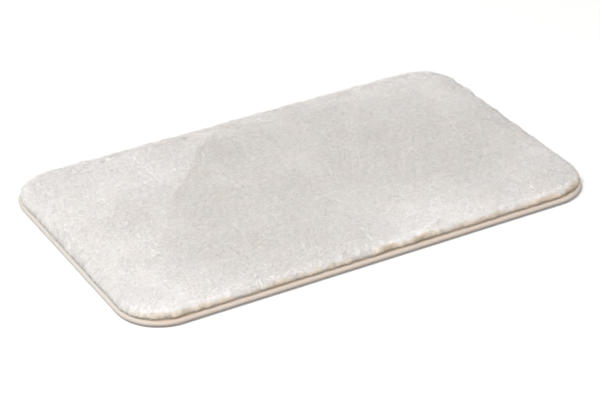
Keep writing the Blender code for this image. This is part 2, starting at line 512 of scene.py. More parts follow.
# Bound edge: one tape folded round the rim, stitched down, its ends lapped at the middle of the rear
boundEdge = {
    "wave": 0.05,               # how much the roll's size varies
    "waveLength": 0.055,
    "pucker": 0.00022,          # how far each stitch pulls the tape in
    "puckerReach": 0.0018,
    "lap": 0.020,
    "lapRise": 0.0007,
    "lapRun": 0.008,            # where the upper end climbs on to the lower
    "lapFade": 0.025,           # where the roll comes back to its own size
    "frontRun": (0.110, 0.215),     # the front side fades in between these -Y; it gets painted warm reflected light and deeper painted shade
    "paint": (0.635, 0.60, 0.555, 1.0),
    # painted warm reflected light on the front side
    "frontReflectionPaint": (0.636, 0.547, 0.475, 1.0),
    # painted warm shade in the groove by the seam on the front, and painted light that lifts its shade on
    # the other sides
    "seamShadePaint": (0.92, 0.73, 0.55, 1.0),
    "seamLitPaint": (0.86, 0.82, 0.77, 1.0),
    "footShadePaint": (0.31, 0.305, 0.305, 1.0),     # painted shade, multiplied in towards the floor, deeper on the front side
    "ribPitch": 0.00085,
}


def tapeMaterial():
    material, tree, shader = newMaterial("binding tape", 0.72, specular=0.25, sheen=0.25)
    uv = addNode(tree, "ShaderNodeUVMap", uv_map="weave").outputs[0]
    place = objectPlace(tree)
    parts = addNode(tree, "ShaderNodeSeparateXYZ", {0: uv})
    turn = 2 * math.pi / boundEdge["ribPitch"]
    ribs = maths(tree, "SINE", maths(tree, "MULTIPLY", parts.outputs[0], turn))
    courses = maths(tree, "SINE", maths(tree, "MULTIPLY", parts.outputs[1], turn * 1.2))
    knit = maths(tree, "MULTIPLY", ribs, courses)
    patch = noiseAt(tree, place, 26.0, 2.0)
    fleck = noiseAt(tree, place, 900.0, 2.0)
    # painted warm reflected light on the front side, in patches
    front = pointValue(tree, "frontShade")
    warmth = maths(tree, "MULTIPLY", stretched(tree, patch, 0.35, 0.65, 0.7, 1.0), front)
    paint = mixColors(tree, warmth, boundEdge["paint"], boundEdge["frontReflectionPaint"])
    # painted shade by the seam, warm on the front, lifted by painted light on the other sides
    near = pointValue(tree, "seamShade")
    paint = mixColors(tree, near, paint,
                      mixColors(tree, front, boundEdge["seamLitPaint"], boundEdge["seamShadePaint"]))
    # painted shade towards the floor
    foot = pointValue(tree, "footShade")
    dark = mixColors(tree, 1.0, paint, boundEdge["footShadePaint"], "MULTIPLY")
    paint = mixColors(tree, foot, paint, dark)
    shade = stretched(tree, knit, -1.0, 1.0, 0.95, 1.02)
    shade = maths(tree, "MULTIPLY", shade, stretched(tree, fleck, 0.3, 0.7, 0.97, 1.03))
    paintWith(tree, shader, paint, shade)
    bumpOn(tree, shader, maths(tree, "ADD", knit, fleck), 0.35, 0.00012)
    return material


def tapeSection(distance):
    # one loop of the tape's section: its outer face, then its inner face
    before = seamLength - distance          # below 0 on the lap
    onLap = ease(0.0, 1.0, 1 - before / boundEdge["lapRun"]) if before < boundEdge["lapRun"] else 0.0
    fromJoint = min(distance, abs(before))
    lifted = boundEdge["lapRise"] * ease(1.0, 0.0, (fromJoint - boundEdge["lap"]) / boundEdge["lapFade"])
    _, _, outX, outY = pathFrame(distance)
    x, y = placeOnPath(distance, 0.0)
    wavy = noise.noise(Vector((x, y, 0.3)) / boundEdge["waveLength"])
    wavy += 0.5 * noise.noise(Vector((x, y, 7.1)) / (boundEdge["waveLength"] * 0.35))
    pull = math.cos(2 * math.pi * distance / stitchPitch)
    loop = []
    for offset, backwards in ((tapeOver, False), (tapeOver - layers["tape"], True)):
        run = []
        for inset, z in aroundEdge(offset, tapeEnd, 8):
            swell = 1 + boundEdge["wave"] * wavy * (1 - smooth(inset, rollRadius, seamInset))
            upper = 1 if z > rollRadius else -1
            hold = math.exp(-((inset - seamInset) / boundEdge["puckerReach"]) ** 2)
            dip = boundEdge["pucker"] * hold * (0.3 + 0.7 * pull)
            raised = z * swell - upper * dip
            inner = rollRadius - (rollRadius - inset) * swell
            fromX, fromZ = inner - max(inner, rollRadius), raised - rollRadius
            length = math.hypot(fromX, fromZ) or 1.0
            if inner > rollRadius:
                fromX, length = 0.0, abs(fromZ)
            inner += boundEdge["lapRise"] * onLap * fromX / length
            raised += (boundEdge["lapRise"] * onLap * fromZ / length
                       + lifted * (1 - 0.6 * smooth(inset, 0.0, tapeEnd)))
            run.append((inner, max(raised, 0.0)))
        loop += run[::-1] if backwards else run
    return loop


stitchCount = round(seamLength / layers["stitchPitch"])
stitchPitch = seamLength / stitchCount


def makeBoundEdge():
    step = stitchPitch / 2
    lapSteps = round(boundEdge["lap"] / step)
    distances = [step * index for index in range(2 * stitchCount + lapSteps + 1)]
    sections = [tapeSection(distance) for distance in distances]
    obj = sweep("bound_edge", distances, sections)
    mesh = obj.data
    mesh.materials.append(tapeMaterial())
    shades, feet, fronts = [], [], []
    for x, y, z in pointArray(mesh):
        front = smooth(-y, *boundEdge["frontRun"])
        # painted shade in the groove by the seam, uneven along it
        near = math.exp(-((insetOf(x, y) - seamInset - 0.0005) / 0.0026) ** 2)
        shades.append(min(1.0, near * (0.85 + 0.3 * noise.noise(Vector((x, y, z)) * 45))))
        # painted shade towards the floor, deeper on the front side
        feet.append((1 - smooth(z / (2 * rollRadius), 0.10, 0.95)) * (0.5 + 0.5 * front))
        fronts.append(front)
    setAttribute(mesh, "seamShade", "FLOAT", shades)
    setAttribute(mesh, "footShade", "FLOAT", feet)
    setAttribute(mesh, "frontShade", "FLOAT", fronts)
    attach(obj, "root")
    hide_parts("binding_tape")
    return obj


boundEdgePiece = makeBoundEdge()
print("bound edge ready")

# Pile: a soft bed of the massed yarn with tufts standing on it
pile = {
    "bedDepth": 0.0010,         # how far the bed lies below the tips
    "bedLift": 0.0003,          # its rim stands this far over the tape
    "bedEdge": 0.0085,          # inset of its rim
    "bedWidth": 0.0285,         # from the rim in to the full height
    "bedStep": 0.006,
    "wall": 0.0032,             # height of its upright rim
    "spill": {"front": 0.0010, "left": 0.0050, "rear": 0.0050, "right": 0.0068},
    "spillRun": 0.030,          # inset where the spill has faded out
    "raggedReach": 0.0024,      # how uneven the rim is in plan
    "lump": 0.0004,
    "crestLump": 0.0034,        # height of the lumps along the far edge
    "voxel": 0.0055,
    "heldRim": (0.016, 0.034),  # insets between which the bed comes free to swell
    "heldFoot": 0.006,          # and it is held this far below its top
    "pressure": 4.0,
    "moveLimit": 0.0020,
    "frames": 20,
    "spacing": 0.00095,
    "tuftLength": 0.0032,
    "tuftWidth": 0.00045,
    "lean": 1.6,
    "clumpSize": 0.0055,
    "clumpPull": 0.13,
    "seed": 11,
    "strips": 8,
    # the painted light and shade of the nap run between these two
    "light": (0.965, 0.952, 0.945, 1.0),
    "dark": (0.93, 0.910, 0.893, 1.0),
    # painted warm shade by the seam
    "rimShadePaint": (0.92, 0.82, 0.70, 1.0),
    # painted shade at the foot where the pile is parted
    "partingShadePaint": (0.50, 0.40, 0.28, 1.0),
    "warm": (0.945, 0.895, 0.865, 1.0),
}


# Places where the nap is painted a little darker, in its own shade: x, y, reach, amount
tones = (
    (-0.265, 0.025, 0.100, 0.55), (-0.110, 0.180, 0.070, 0.45), (-0.181, -0.178, 0.080, 0.38),
    (-0.059, -0.170, 0.085, 0.55), (0.236, -0.037, 0.095, 0.45), (0.209, -0.158, 0.060, 0.20),
    (0.242, 0.144, 0.080, 0.05), (-0.330, -0.070, 0.060, 0.20), (-0.172, 0.055, 0.028, 0.22),
    (0.310, -0.180, 0.060, 0.35),
)
# The wedge at the left, painted pale as its nap catches the light: a place on its edge, the way across it
wedge = {"place": (-0.119, 0.121), "way": (0.75, -0.66)}
flap = {"from": (0.042, -0.224), "to": (0.110, -0.196), "paler": 0.35, "darker": 0.45}


def flapShade(x, y):
    # a lock of nap folded back: a painted highlight along its edge and painted shadow just in front of it
    (startX, startY), (endX, endY) = flap["from"], flap["to"]
    length = math.hypot(endX - startX, endY - startY)
    alongX, alongY = (endX - startX) / length, (endY - startY) / length
    along = (x - startX) * alongX + (y - startY) * alongY
    behind = (y - startY) * alongX - (x - startX) * alongY
    within = smooth(along, -0.012, 0.004) * (1 - smooth(along, length - 0.006, length + 0.010))
    if behind >= 0:
        return -flap["paler"] * within * float(1 - smooth(behind, 0.003, 0.030))
    shadow = smooth(-behind, 0.0, 0.002) * (1 - smooth(-behind, 0.006, 0.018))
    return flap["darker"] * within * float(shadow)


def pileShade(x, y):
    # 0 where the nap lies smooth and pale, 1 where brushed up and darker; both are painted light and
    # shade
    (startX, startY), (wayX, wayY) = wedge["place"], wedge["way"]
    across = (x - startX) * wayX + (y - startY) * wayY
    edge = smooth(across, -0.006, 0.012 + 0.10 * smooth(-y, -0.05, 0.12))
    edge *= 1 - 0.5 * smooth(y, 0.12, 0.21)
    lower = smooth(y, -0.17, -0.03)
    right = 1 - 0.45 * smooth(x, 0.12, 0.30)
    patch = 0.12 * noise.noise(Vector((x * 9, y * 14, 2.0)))
    patch += 0.06 * noise.noise(Vector((x * 30, y * 34, 5.0)))
    base = 0.10 + 0.78 * edge * (0.25 + 0.75 * lower) * right + flapShade(x, y)
    for middleX, middleY, reach, amount in tones:
        away = ((x - middleX) ** 2 + (y - middleY) ** 2) / reach ** 2
        base += amount * math.exp(-away)
    return float(np.clip(base + patch, 0.0, 1.0))


def plushMaterial():
    material, tree, shader = newMaterial("cream plush", 0.92, specular=0.12, sheen=0.35)
    place = objectPlace(tree)
    shade = pointValue(tree, "shade")
    patch = noiseAt(tree, mapped(tree, place, (1.0, 1.0, 0.0)), 19.0, 2.0)
    grain = noiseAt(tree, mapped(tree, place, (115.0, 440.0, 0.0), 0.10), 1.0, 3.0, 0.65)
    streak = noiseAt(tree, mapped(tree, place, (14.0, 120.0, 0.0), 0.12), 1.0, 3.0)
    # painted light and shade of the nap
    paint = mixColors(tree, shade, pile["light"], pile["dark"])
    warmth = maths(tree, "MULTIPLY", stretched(tree, patch, 0.40, 0.70, 0.1, 0.8), shade)
    paint = mixColors(tree, warmth, paint, pile["warm"])
    # painted warm shade by the seam
    rim = pointValue(tree, "rim")
    paint = mixColors(tree, maths(tree, "MULTIPLY", rim, 0.85), paint, pile["rimShadePaint"])
    # painted shade at the foot where the pile is parted
    partedShade = pointValue(tree, "partedShade")
    paint = mixColors(tree, partedShade, paint, pile["partingShadePaint"])
    value = maths(tree, "MULTIPLY", stretched(tree, grain, 0.28, 0.72, 0.86, 1.10),
                  stretched(tree, streak, 0.3, 0.7, 0.965, 1.02))
    paintWith(tree, shader, paint, value)
    fibre = noiseAt(tree, place, 1500.0, 2.0)
    bumpOn(tree, shader, fibre, 0.25, 0.0002)
    return material


def bedSection():
    top = pileHigh.z - pile["bedDepth"]
    foot = tapeEnd + layers["gap"]
    low = seamTop + pile["bedLift"]
    section = []
    count = 8
    last = seamInset + layers["upperRun"]
    for index in range(count + 1):
        inset = last + (foot - last) * index / count
        section.append((inset, foamHeight(1, inset) + pileOver))
    section.append((foot, low))
    section.append((pile["bedEdge"], low))
    start = low + pile["wall"]
    for index in range(11):
        angle = math.pi / 2 * index / 10
        inset = pile["bedEdge"] + pile["bedWidth"] * (1 - math.cos(angle))
        section.append((inset, start + (top - start) * math.sin(angle)))
    return section


def puffUp(obj):
    # the bed swells a little under the pressure of its own yarn; its rim and foot are held
    rest = pointArray(obj.data)
    held = obj.vertex_groups.new(name="held")
    foot = pileHigh.z - pile["bedDepth"] - pile["heldFoot"]
    for index, (x, y, z) in enumerate(rest):
        weight = 1.0 if z < foot else float(1 - smooth(insetOf(x, y), *pile["heldRim"]))
        held.add([index], weight, "REPLACE")
    cloth = obj.modifiers.new("cloth", "CLOTH")
    cloth.settings.use_pressure = True
    cloth.settings.uniform_pressure_force = pile["pressure"]
    cloth.settings.vertex_group_mass = "held"
    cloth.settings.effector_weights.gravity = 0
    cloth.point_cache.frame_start = 1
    cloth.point_cache.frame_end = pile["frames"]
    for number in range(1, pile["frames"] + 1):
        scene.frame_set(number)
    evaluated = obj.evaluated_get(bpy.context.evaluated_depsgraph_get())
    moved = pointArray(evaluated.data) - rest
    obj.modifiers.remove(cloth)
    obj.vertex_groups.clear()
    scene.frame_set(1)
    length = np.linalg.norm(moved, axis=1, keepdims=True)
    moved *= np.minimum(1.0, pile["moveLimit"] / np.maximum(length, 1e-9))
    print("bed moved at most", round(float(length.max()) * 1000, 2), "mm before the limit")
    obj.data.vertices.foreach_set("co", (rest + moved).ravel())
    obj.data.update()


def spillOver(obj):
    # the pile hangs out over the roll, most at the rear and right, and is a little lumpy
    spill = pile["spill"]
    mesh = obj.data
    places = []
    for x, y, z in pointArray(mesh):
        inset = insetOf(x, y)
        overX = max(abs(x) - straightX, 0.0) * math.copysign(1, x)
        overY = max(abs(y) - straightY, 0.0) * math.copysign(1, y)
        length = math.hypot(overX, overY)
        top = smooth(z, 0.010, 0.018)
        if length > 0:
            outX, outY = overX / length, overY / length
            reach = outX ** 2 * spill["right" if outX > 0 else "left"]
            reach += outY ** 2 * spill["rear" if outY > 0 else "front"]
            reach *= 1 - smooth(inset, pile["bedEdge"], pile["spillRun"])
            wavy = wander(x, y, 38, 1.2) + 0.6 * wander(x, y, 85, 4.2)
            far = max(smooth(outY, 0.1, 0.7), smooth(outX, 0.5, 0.9) * smooth(y, -0.15, 0.0))
            zone = smooth(inset, 0.008, 0.014) * (1 - smooth(inset, 0.036, 0.050))
            tufty = wander(x, y, 105, 7.7) + 0.3 * wavy
            z += pile["crestLump"] * far * zone * max(0.0, tufty) * top
            ragged = 0.5 * wavy + wander(x, y, 170, 3.9)
            reach += pile["raggedReach"] * ragged * (1 - smooth(inset, 0.011, 0.020))
            x += outX * reach
            y += outY * reach
            if z < 0.014:
                floorZ = foamHeight(1, inset - reach) + tapeOver + pile["bedLift"]
                z = max(z, floorZ)
        z += pile["lump"] * wander(x, y, 34, 6.2) * top
        places.append((x, y, z))
    mesh.vertices.foreach_set("co", np.array(places, dtype=np.float32).ravel())
    mesh.update()


def makeBed():
    obj = slab("plush_bed", bedSection(), pile["bedStep"])
    remesh = obj.modifiers.new("remesh", "REMESH")
    remesh.mode = "VOXEL"
    remesh.voxel_size = pile["voxel"]
    applyModifier(obj, remesh)
    puffUp(obj)
    subdivision = obj.modifiers.new("subdivision", "SUBSURF")
    subdivision.levels = 1
    subdivision.render_levels = 1
    applyModifier(obj, subdivision)
    obj.data.name = "plush_bed"
    spillOver(obj)
    obj.data.shade_smooth()
    return obj


# Front rim places where the pile is parted, shows the seam and is painted in shade: x, reach, strength
partings = (
    (-0.300, 0.045, 0.5), (-0.170, 0.020, 0.35), (0.020, 0.017, 1.0), (0.078, 0.022, 0.9),
    (0.190, 0.018, 0.4), (0.286, 0.020, 0.7), (0.330, 0.018, 0.7),
)


def partedAt(x, y):
    if y > -0.15:
        return 0.0
    deep = max(strength * math.exp(-((x - middle) / reach) ** 2)
               for middle, reach, strength in partings)
    return deep * (0.75 + 0.5 * wander(x, y, 150, 8.8))


# How the tufts are brushed; pairs are limits, in metres, between which a change fades in
brush = {
    "rim": (0.009, 0.030),          # insets from the drooping rim to the nap on top
    "droop": (0.0075, 0.0110),      # heights below which the rim hangs down
    "uneven": (0.010, 0.022),       # insets from the uneven rim to the even top
    "crestOuter": (0.010, 0.016),   # wisps stand up along the far edge inside this
    "crestInner": (0.026, 0.040),   # and outside this
    "rear": (0.12, 0.20),           # y
    "right": (0.28, 0.35),          # x
    "front": (0.170, 0.213),        # -y
    "rimShade": (0.0080, 0.0112),        # insets where the painted warm shade by the seam fades
    "partedShade": (0.0095, 0.0125),       # insets where the painted shade at the foot of a parted tuft fades
    "shortest": 0.15,
    "rootClear": 0.0003,            # tufts grow from this far above the rim's underside
}


def crestAt(x, y, inset):
    # how much of a wisp stands up here along the far edge
    far = max(smooth(y, *brush["rear"]), smooth(x, *brush["right"]))
    wisp = wander(x, y, 95, 5.5) + 0.5 * wander(x, y, 240, 2.2)
    band = smooth(inset, *brush["crestOuter"]) * (1 - smooth(inset, *brush["crestInner"]))
    return far * band * max(0.0, wisp)


def napAt(x, y, z, normal, inset, shade, crest):
    # the way a tuft leans: with the nap on top, out and down at the rim, up in a wisp
    rim = 1 - smooth(inset, *brush["rim"])
    angle = math.radians(-150 + 150 * shade + 40 * wander(x, y, 11, 1.7))
    nap = Vector(normal)
    nap += Vector((math.cos(angle), math.sin(angle), 0.0)) * pile["lean"] * (1 - 0.75 * rim)
    droop = -0.20 - 0.80 * (1 - smooth(z, *brush["droop"])) + 0.45 * wander(x, y, 150, 4.4)
    nap += Vector((normal[0], normal[1], droop)) * rim * 1.3
    nap += Vector((0.0, 0.0, 1.2)) * crest
    return nap.normalized()


def sizeAt(x, y, inset, parted, crest):
    # how long a tuft is, as a share of the tuft length
    short = 1.05 + 0.50 * wander(x, y, 90, 3.3) - 0.75 * parted
    size = short + (1.0 - short) * smooth(inset, *brush["uneven"])
    size *= 1 + 0.10 * wander(x, y, 24, 9.1)
    return max(size * (1 + 0.7 * crest), brush["shortest"])


def rimShades(x, y, inset, parted):
    # painted warm shade on a tuft by the seam, and painted shade at its foot where the pile is parted
    front = smooth(-y, *brush["front"])
    rimShadeFrom, rimShadeEnd = brush["rimShade"]
    rimShadeEnd += 0.003 * wander(x, y, 60, 6.6) + 0.006 * parted
    rimShade = (1 - smooth(inset, rimShadeFrom, rimShadeEnd)) * (0.05 + 0.95 * front)
    low = 1 - smooth(inset, brush["partedShade"][0], brush["partedShade"][1] + 0.002 * parted)
    partedShade = 1.1 * low * max(0.0, parted - 0.12)
    partedShade += 0.25 * low * front * max(0.0, wander(x, y, 75, 0.4))
    return min(rimShade, 1.0), min(partedShade, 1.0)


def brushBed(obj):
    # nap is the way a tuft leans, size its length, shade its painted nap shade,
    # rim the painted warm shade near the seam, then the painted shade at the foot where the pile is
    # parted, and rooted is 1 where tufts grow
    mesh = obj.data
    places = pointArray(mesh)
    normals = np.empty(len(places) * 3)
    mesh.vertices.foreach_get("normal", normals)
    naps, sizes, shades, rooted, rims, partedShades = [], [], [], [], [], []
    lowest = seamTop + pile["bedLift"] + brush["rootClear"]
    for (x, y, z), normal in zip(places, normals.reshape(-1, 3)):
        inset = insetOf(x, y)
        shade = pileShade(x, y)
        parted = partedAt(x, y)
        crest = crestAt(x, y, inset)
        rimShade, partedShade = rimShades(x, y, inset, parted)
        naps.append(napAt(x, y, z, normal, inset, shade, crest))
        sizes.append(sizeAt(x, y, inset, parted, crest))
        shades.append(shade)
        rims.append(rimShade)
        partedShades.append(partedShade)
        rooted.append(1.0 if normal[2] > -0.75 and z > lowest else 0.0)
    setAttribute(mesh, "nap", "FLOAT_VECTOR", naps)
    setAttribute(mesh, "size", "FLOAT", sizes)
    setAttribute(mesh, "shade", "FLOAT", shades)
    setAttribute(mesh, "rooted", "FLOAT", rooted)
    setAttribute(mesh, "rim", "FLOAT", rims)
    setAttribute(mesh, "partedShade", "FLOAT", partedShades)


def tuftShape(name, bend, twist):
    # a tapered tuft of height 1 and foot radius 1, closed at its foot
    places = []
    for corner in range(3):
        angle = 2 * math.pi * corner / 3 + twist
        places.append((math.cos(angle), math.sin(angle), 0.0))
    places.append((bend, 0.0, 1.0))
    mesh = bpy.data.meshes.new(name)
    mesh.from_pydata(places, [], [(2, 1, 0), (0, 1, 3), (1, 2, 3), (2, 0, 3)])
    obj = addObject(name, mesh)
    obj.hide_render = True
    return obj


def tuftTree(shapes, material):
    tree, given = newTree("tufts", (
        ("from x", "Float", -1.0), ("to x", "Float", 1.0), ("spacing", "Float", pile["spacing"]),
        ("tuft length", "Float", pile["tuftLength"]), ("tuft width", "Float", pile["tuftWidth"]),
        ("clump size", "Float", pile["clumpSize"]), ("clump pull", "Float", pile["clumpPull"]),
        ("seed", "Int", pile["seed"]),
    ))
    grows = compare(tree, "GREATER_THAN", namedValue(tree, "rooted"), 0.5)
    place = addNode(tree, "GeometryNodeInputPosition").outputs[0]
    placeX = addNode(tree, "ShaderNodeSeparateXYZ", {0: place}).outputs[0]
    inStrip = both(tree, compare(tree, "GREATER_EQUAL", placeX, given["from x"]),
                   compare(tree, "LESS_THAN", placeX, given["to x"]))
    spread = addNode(tree, "GeometryNodeDistributePointsOnFaces",
                     {"Mesh": given["Geometry"], "Selection": both(tree, inStrip, grows),
                      "Distance Min": given["spacing"], "Density Max": 3000000.0,
                      "Seed": given["seed"]}, distribute_method="POISSON")
    perMetre = maths(tree, "DIVIDE", 1.0, given["clump size"])
    wisps = addNode(tree, "ShaderNodeTexNoise", {"Vector": place, "Scale": perMetre, "Detail": 1.0})
    centred = vectorMath(tree, "SUBTRACT", wisps.outputs["Color"], (0.5, 0.5, 0.5))
    pulled = vectorMath(tree, "SCALE", centred, given["clump pull"])
    pulled = vectorMath(tree, "MULTIPLY", pulled, (3.0, 3.0, 1.5))
    way = vectorMath(tree, "ADD", namedValue(tree, "nap", "FLOAT_VECTOR"), pulled)
    spin = addNode(tree, "FunctionNodeRandomValue", {2: 0.0, 3: 2 * math.pi, "Seed": 3},
                   data_type="FLOAT")
    spinAngles = addNode(tree, "ShaderNodeCombineXYZ", {2: spin.outputs[1]})
    spinTurn = addNode(tree, "FunctionNodeEulerToRotation", {0: spinAngles.outputs[0]})
    turn = addNode(tree, "FunctionNodeAlignRotationToVector",
                   {"Rotation": spinTurn.outputs[0], "Vector": way}, axis="Z")
    vary = addNode(tree, "FunctionNodeRandomValue", {2: 0.82, 3: 1.15, "Seed": 4}, data_type="FLOAT")
    long = maths(tree, "MULTIPLY", namedValue(tree, "size"), given["tuft length"])
    long = maths(tree, "MULTIPLY", long, vary.outputs[1])
    scale = addNode(tree, "ShaderNodeCombineXYZ",
                    {0: given["tuft width"], 1: given["tuft width"], 2: long})
    join = addNode(tree, "GeometryNodeJoinGeometry")
    for shape in shapes:
        info = addNode(tree, "GeometryNodeObjectInfo", {"Object": shape})
        one = addNode(tree, "GeometryNodeGeometryToInstance", {0: info.outputs["Geometry"]})
        tree.links.new(one.outputs[0], join.inputs[0])
    pick = addNode(tree, "FunctionNodeRandomValue", {4: 0, 5: len(shapes) - 1, "Seed": 5},
                   data_type="INT")
    planted = addNode(tree, "GeometryNodeInstanceOnPoints",
                      {"Points": spread.outputs["Points"], "Instance": join.outputs[0],
                       "Pick Instance": True, "Instance Index": pick.outputs[2],
                       "Rotation": turn.outputs[0], "Scale": scale.outputs[0]})
    finishTree(tree, planted.outputs[0], material)
    return tree


def makePile():
    material = plushMaterial()
    bed = makeBed()
    print("bed ready,", len(bed.data.polygons), "faces")
    brushBed(bed)
    bed.data.materials.clear()
    bed.data.materials.append(material)
    shapes = [tuftShape("tuft_shape_1", 0.9, 0.6), tuftShape("tuft_shape_2", 1.8, -0.4),
              tuftShape("tuft_shape_3", -0.6, 1.1)]
    tree = tuftTree(shapes, material)
    strips = pile["strips"]
    step = 2 * pileHigh.x / strips
    tufts = []
    for index in range(strips):
        start = -1.0 if index == 0 else -pileHigh.x + index * step
        end = 1.0 if index == strips - 1 else -pileHigh.x + (index + 1) * step
        obj = grow(f"plush_tufts_{index + 1}", bed, tree, {"from x": start, "to x": end})
        for name in ("nap", "size", "rooted"):
            attribute = obj.data.attributes.get(name)
            if attribute:
                obj.data.attributes.remove(attribute)
        topMap(obj.data)
        tufts.append(obj)
        print("tufts", index + 1, "ready,", len(obj.data.polygons), "faces")
    for shape in shapes:
        bpy.data.objects.remove(shape)
    for name in ("nap", "size", "rooted"):
        bed.data.attributes.remove(bed.data.attributes[name])
    topMap(bed.data)
    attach(bed, "root")
    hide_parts("plush_pile")
    for obj in tufts:
        obj.parent = bed


makePile()
print("pile ready")

# Sewing: one row of lockstitch round the mat, needle thread on top and bobbin thread underneath
sewing = {
    "length": 0.0029,
    "thickness": 0.0003,
    "bow": 0.00012,
    "paint": (0.74, 0.67, 0.58, 1.0),
}


def threadMaterial():
    material, tree, shader = newMaterial("seam thread", 0.55, specular=0.35, sheen=0.2)
    place = objectPlace(tree)
    ply = addNode(tree, "ShaderNodeTexWave", {"Vector": place, "Scale": 900.0, "Distortion": 2.0},
                  bands_direction="DIAGONAL")
    fleck = noiseAt(tree, place, 300.0)
    shade = maths(tree, "MULTIPLY", stretched(tree, ply.outputs[1], 0.0, 1.0, 0.9, 1.05),
                  stretched(tree, fleck, 0.3, 0.7, 0.94, 1.05))
    paintWith(tree, shader, sewing["paint"], shade)
    bumpOn(tree, shader, ply.outputs[1], 0.5, 0.00008)
    return material


def stitchShape():
    # one stitch along X, bowed up in the middle, with its ends going into the cloth
    places = []
    rows = ((-0.5, 0.55, -1.6), (-0.36, 0.95, -0.3), (0.0, 1.0, 1.0),
            (0.36, 0.95, -0.3), (0.5, 0.55, -1.6))
    for along, width, rise in rows:
        for corner in range(6):
            angle = 2 * math.pi * corner / 6
            places.append((along * sewing["length"], width * sewing["thickness"] * math.cos(angle),
                           width * sewing["thickness"] * math.sin(angle) + rise * sewing["bow"]))
    faces = tubeFaces(len(rows), 6) + [tuple(range(6)), tuple(range(24, 30))]
    return addShape("stitch_shape", places, faces)


def stitchTree(shape, material):
    tree, given = newTree("stitches", (
        ("count", "Int", stitchCount), ("side", "Float", 1.0),
        ("uneven", "Float", 0.06), ("seed", "Int", 5),
    ))
    line = addNode(tree, "GeometryNodeMeshToCurve", {0: given["Geometry"]})
    spaced = addNode(tree, "GeometryNodeResampleCurve",
                     {"Curve": line.outputs[0], "Count": given["count"]})
    way = addNode(tree, "GeometryNodeInputTangent")
    turn = addNode(tree, "FunctionNodeAlignRotationToVector", {"Vector": way.outputs[0]}, axis="X")
    vary = addNode(tree, "FunctionNodeRandomValue",
                   {0: (-1.0, -1.0, -1.0), 1: (1.0, 1.0, 1.0), "Seed": given["seed"]},
                   data_type="FLOAT_VECTOR")
    askew = vectorMath(tree, "SCALE", vary.outputs[0], given["uneven"])
    skew = addNode(tree, "FunctionNodeEulerToRotation", {0: askew})
    turned = addNode(tree, "FunctionNodeRotateRotation",
                     {"Rotation": turn.outputs[0], "Rotate By": skew.outputs[0]},
                     rotation_space="LOCAL")
    info = addNode(tree, "GeometryNodeObjectInfo", {"Object": shape})
    size = addNode(tree, "ShaderNodeCombineXYZ", {0: 1.0, 1: 1.0, 2: given["side"]})
    planted = addNode(tree, "GeometryNodeInstanceOnPoints",
                      {"Points": spaced.outputs[0], "Instance": info.outputs["Geometry"],
                       "Rotation": turned.outputs[0], "Scale": size.outputs[0]})
    finishTree(tree, planted.outputs[0], material)
    return tree


def makeStitches():
    shape = stitchShape()
    tree = stitchTree(shape, threadMaterial())
    rows = (("needle_stitches", "needle_thread", 1.0, (threadLow.z + threadHigh.z) / 2),
            ("bobbin_stitches", "bobbin_thread", -1.0, (bobbinLow.z + bobbinHigh.z) / 2))
    for name, node, side, z in rows:
        path = [(*placeOnPath(stitchPitch * (index + 0.5), seamInset), z)
                for index in range(stitchCount)]
        edges = [(index, (index + 1) % stitchCount) for index in range(stitchCount)]
        mesh = bpy.data.meshes.new("seam_line")
        mesh.from_pydata(path, edges, [])
        line = addObject("seam_line", mesh)
        obj = grow(name, line, tree, {"side": side})
        bpy.data.objects.remove(line)
        turnOutwards(obj.data)
        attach(obj, "root")
        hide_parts(node)
    bpy.data.objects.remove(shape)


makeStitches()
print("stitches ready")

# Inner layers: the foam, the knit ground that holds the pile, and the backing cloth under the foam
inside = {
    "foamPaint": (0.86, 0.84, 0.77, 1.0),
    "foamCell": (0.80, 0.77, 0.68, 1.0),
    "groundPaint": (0.80, 0.76, 0.68, 1.0),
    "backingPaint": (0.80, 0.765, 0.69, 1.0),
    "backingShade": (0.74, 0.70, 0.62, 1.0),
    "knitPitch": 0.0012,
    "step": 0.006,
}
flatInset = seamInset + layers["upperRun"]


def foamMaterial():
    material, tree, shader = newMaterial("foam", 0.9, specular=0.2)
    place = objectPlace(tree)
    cells = addNode(tree, "ShaderNodeTexVoronoi", {"Vector": place, "Scale": 900.0})
    patch = noiseAt(tree, place, 30.0)
    amount = maths(tree, "MULTIPLY", cells.outputs["Distance"],
                   stretched(tree, patch, 0.3, 0.7, 0.8, 1.4))
    tree.links.new(mixColors(tree, amount, inside["foamPaint"], inside["foamCell"]),
                   shader.inputs["Base Color"])
    bumpOn(tree, shader, cells.outputs["Distance"], 0.6, 0.0003)
    return material


def knitMaterial(name, paint, shaded):
    material, tree, shader = newMaterial(name, 0.88, specular=0.15, sheen=0.2)
    place = objectPlace(tree)
    parts = addNode(tree, "ShaderNodeSeparateXYZ", {0: place})
    turn = 2 * math.pi / inside["knitPitch"]
    wales = maths(tree, "SINE", maths(tree, "MULTIPLY", parts.outputs[0], turn))
    slant = maths(tree, "ADD", maths(tree, "MULTIPLY", parts.outputs[1], turn * 0.8),
                  maths(tree, "MULTIPLY", wales, 0.8))
    knit = maths(tree, "MULTIPLY", wales, maths(tree, "SINE", slant))
    patch = noiseAt(tree, place, 14.0, 3.0)
    fleck = noiseAt(tree, place, 700.0)
    base = mixColors(tree, stretched(tree, patch, 0.35, 0.65, 0.0, 1.0), paint, shaded)
    shade = maths(tree, "MULTIPLY", stretched(tree, knit, -1.0, 1.0, 0.86, 1.04),
                  stretched(tree, fleck, 0.3, 0.7, 0.96, 1.03))
    paintWith(tree, shader, base, shade)
    bumpOn(tree, shader, knit, 0.5, 0.0002)
    return material


